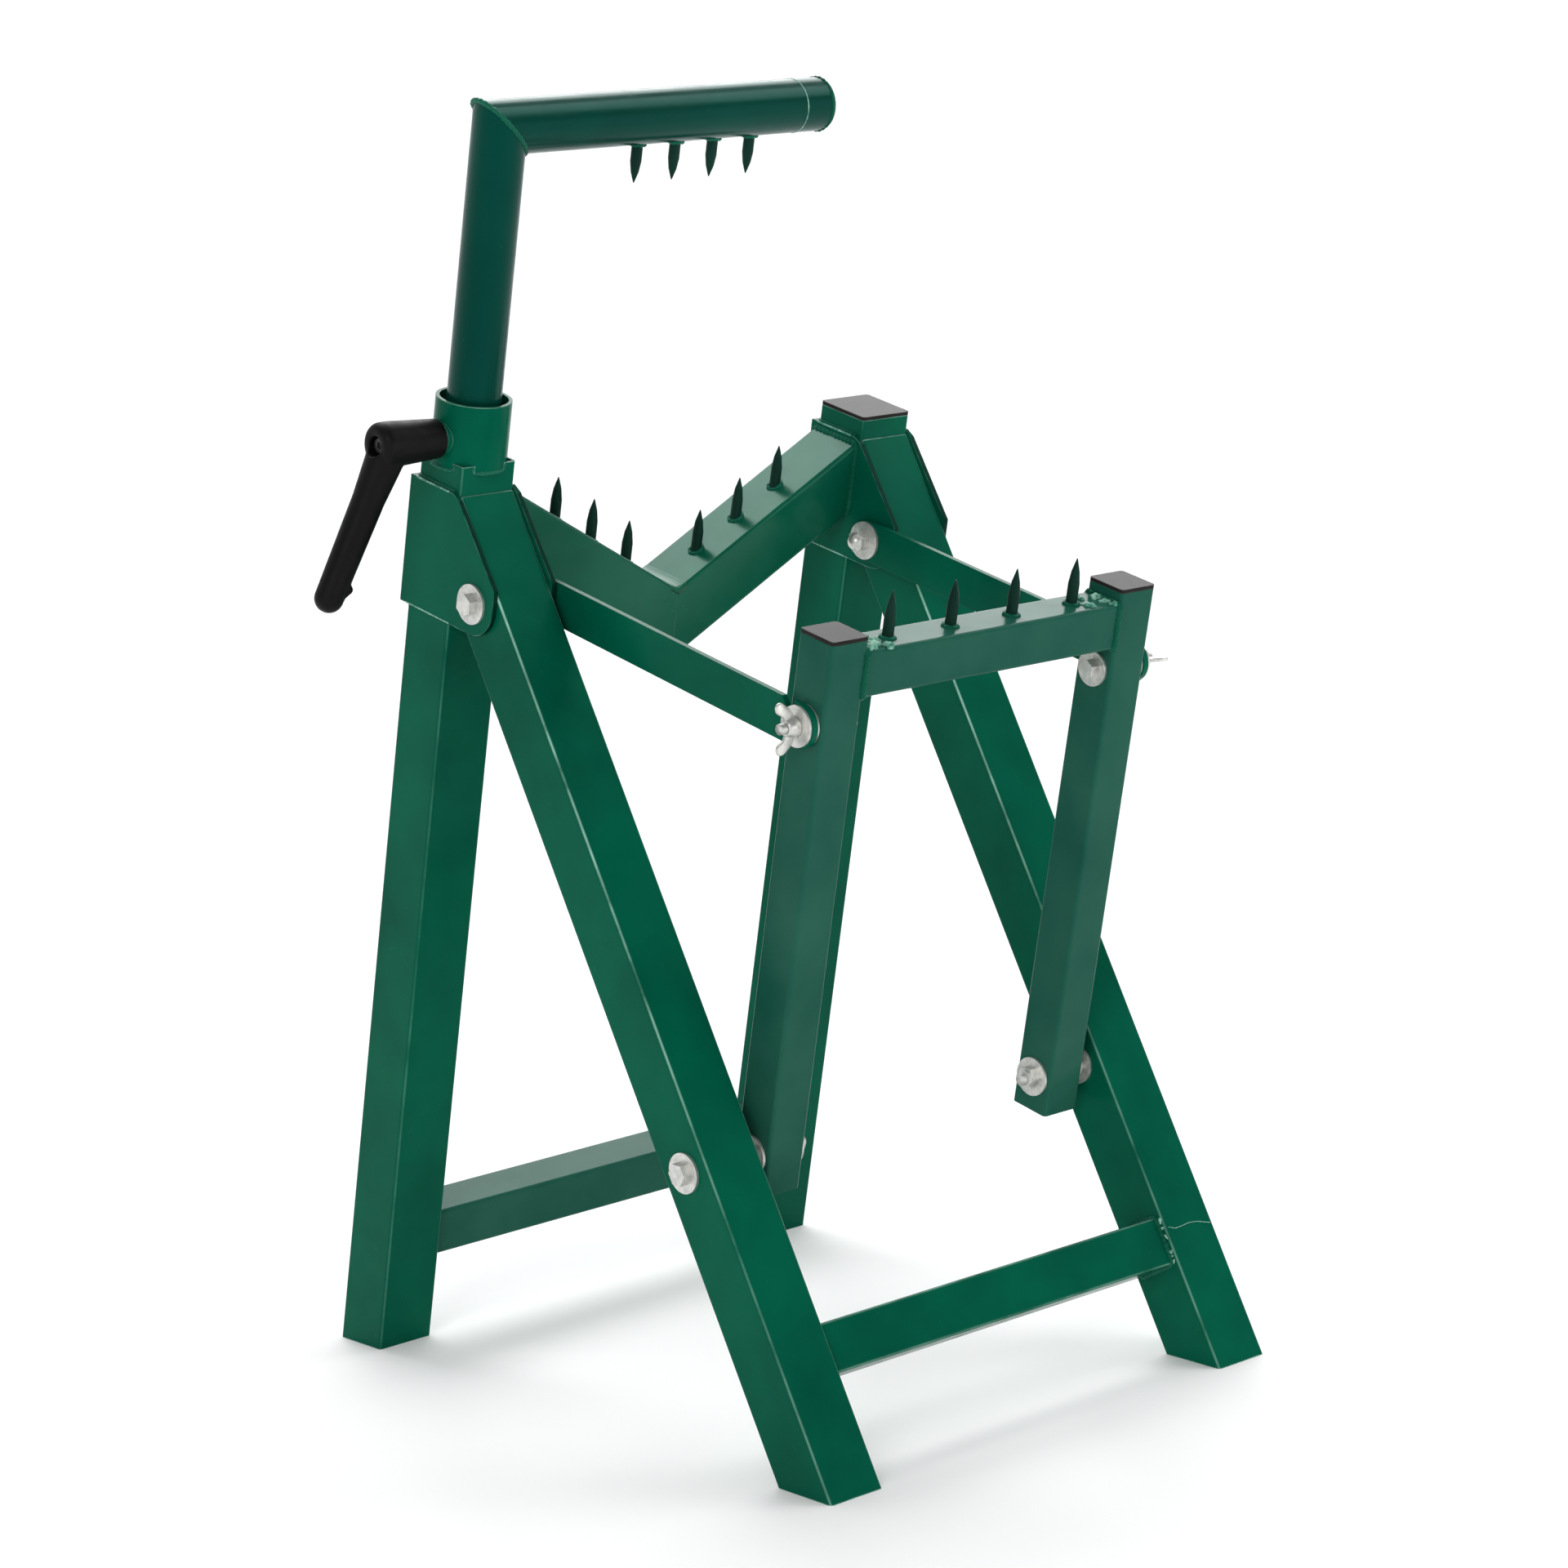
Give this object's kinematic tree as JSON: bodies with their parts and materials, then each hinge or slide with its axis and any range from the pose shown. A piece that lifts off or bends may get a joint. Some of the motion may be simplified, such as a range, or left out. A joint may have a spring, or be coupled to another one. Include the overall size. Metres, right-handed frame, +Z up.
{
  "type": "log saw stand",
  "caption": "Folding steel log saw stand with a spiked V cradle, a spiked middle support, braced front legs and a height-adjustable clamp arm with a ratchet lever.",
  "frame": {"origin": "bottom centre of the stand's box, on the floor", "axes": "+Z up, +X towards the post without the clamp arm, +Y towards the rear posts"},
  "size_m": [0.6, 0.608, 1.029],
  "materials": {
    "green_paint": "semi-gloss powder coat",
    "dark_paint": "semi-gloss powder coat",
    "zinc": "bright zinc",
    "dark_steel": "black oxide",
    "black_plastic": "matte",
    "lever_plastic": "matte"
  },
  "bodies": {
    "rear_frame": {"rear_post_left": "green_paint", "rear_post_right": "green_paint", "rear_post_cap": "black_plastic", "rear_crossbar": "green_paint", "cradle_arm_left": "green_paint", "cradle_arm_right": "green_paint", "cradle_spikes": "dark_paint", "hinge_bracket_left": "green_paint", "hinge_bracket_right": "green_paint", "clamp_collar": "green_paint", "clamp_boss": "green_paint", "pivot_bolts": "zinc", "pivot_washers": "zinc", "pivot_nuts": "zinc"},
    "front_legs": {"front_leg_left": "green_paint", "front_leg_right": "green_paint", "front_crossbar": "green_paint", "lower_bolts": "zinc", "lower_washers": "zinc", "lower_spacers": "zinc", "lower_nuts": "zinc"},
    "middle_frame": {"middle_post_left": "green_paint", "middle_post_right": "green_paint", "middle_bar": "green_paint", "middle_caps": "black_plastic", "middle_spikes": "dark_paint", "strut_bolts": "zinc", "strut_washers": "zinc"},
    "strut_left": {"strut_left": "green_paint"},
    "strut_right": {"strut_right": "green_paint"},
    "wing_nut_left": {"wing_nut_left": "zinc"},
    "wing_nut_right": {"wing_nut_right": "zinc"},
    "arm_guide": {"arm_guide_plug": "black_plastic"},
    "clamp_arm": {"arm_tube": "green_paint", "arm_bar": "green_paint", "arm_end_disc": "green_paint", "arm_spikes": "dark_paint"},
    "clamp_screw": {"clamp_screw": "zinc", "lever_insert": "zinc", "lever_screw": "dark_steel"},
    "clamp_lever": {"clamp_lever": "lever_plastic"}
  },
  "joints": [
    {"name": "leg_fold", "type": "hinge", "parent": "rear_frame", "child": "front_legs", "pos_m": [0.04821, 0.06819, 0.64357], "axis": [1, 0, 0], "range_deg": [0, 41]},
    {"name": "middle_fold", "type": "hinge", "parent": "front_legs", "child": "middle_frame", "pos_m": [0.04821, -0.15287, 0.2278], "axis": [-1, 0, 0], "range_deg": [0, 33]},
    {"name": "strut_swing_left", "type": "hinge", "parent": "front_legs", "child": "strut_left", "pos_m": [0.04821, 0.06819, 0.64357], "axis": [1, 0, 0], "range_deg": [0, 48.3]},
    {"name": "strut_swing_right", "type": "hinge", "parent": "front_legs", "child": "strut_right", "pos_m": [0.04821, 0.06819, 0.64357], "axis": [1, 0, 0], "range_deg": [0, 48.3]},
    {"name": "wing_nut_turn_left", "type": "hinge", "parent": "middle_frame", "child": "wing_nut_left", "pos_m": [0.04821, -0.23206, 0.57078], "axis": [-1, 0, 0], "continuous": true},
    {"name": "wing_nut_turn_right", "type": "hinge", "parent": "middle_frame", "child": "wing_nut_right", "pos_m": [0.04821, -0.23206, 0.57078], "axis": [1, 0, 0], "continuous": true},
    {"name": "arm_slide", "type": "slide", "parent": "rear_frame", "child": "arm_guide", "axis": [0, -0.225, 0.9744], "range_m": [-0.185, 0.277]},
    {"name": "arm_swivel", "type": "hinge", "parent": "arm_guide", "child": "clamp_arm", "pos_m": [-0.16379, 0.27681, 0], "axis": [0, -0.225, 0.9744], "continuous": true},
    {"name": "lever_turn", "type": "hinge", "parent": "rear_frame", "child": "clamp_screw", "pos_m": [-0.16379, 0.09888, 0.77073], "axis": [-1, 0, 0], "range_deg": [-100, 100]},
    {"name": "lever_lift", "type": "slide", "parent": "clamp_screw", "child": "clamp_lever", "axis": [-1, 0, 0], "range_m": [0, 0.005], "stiffness_N_per_m": 900, "springref_m": -0.006}
  ],
  "couplings": [
    {"joint": "strut_swing_left", "follows": "middle_fold", "ratio": 1.46},
    {"joint": "strut_swing_right", "follows": "middle_fold", "ratio": 1.46}
  ]
}
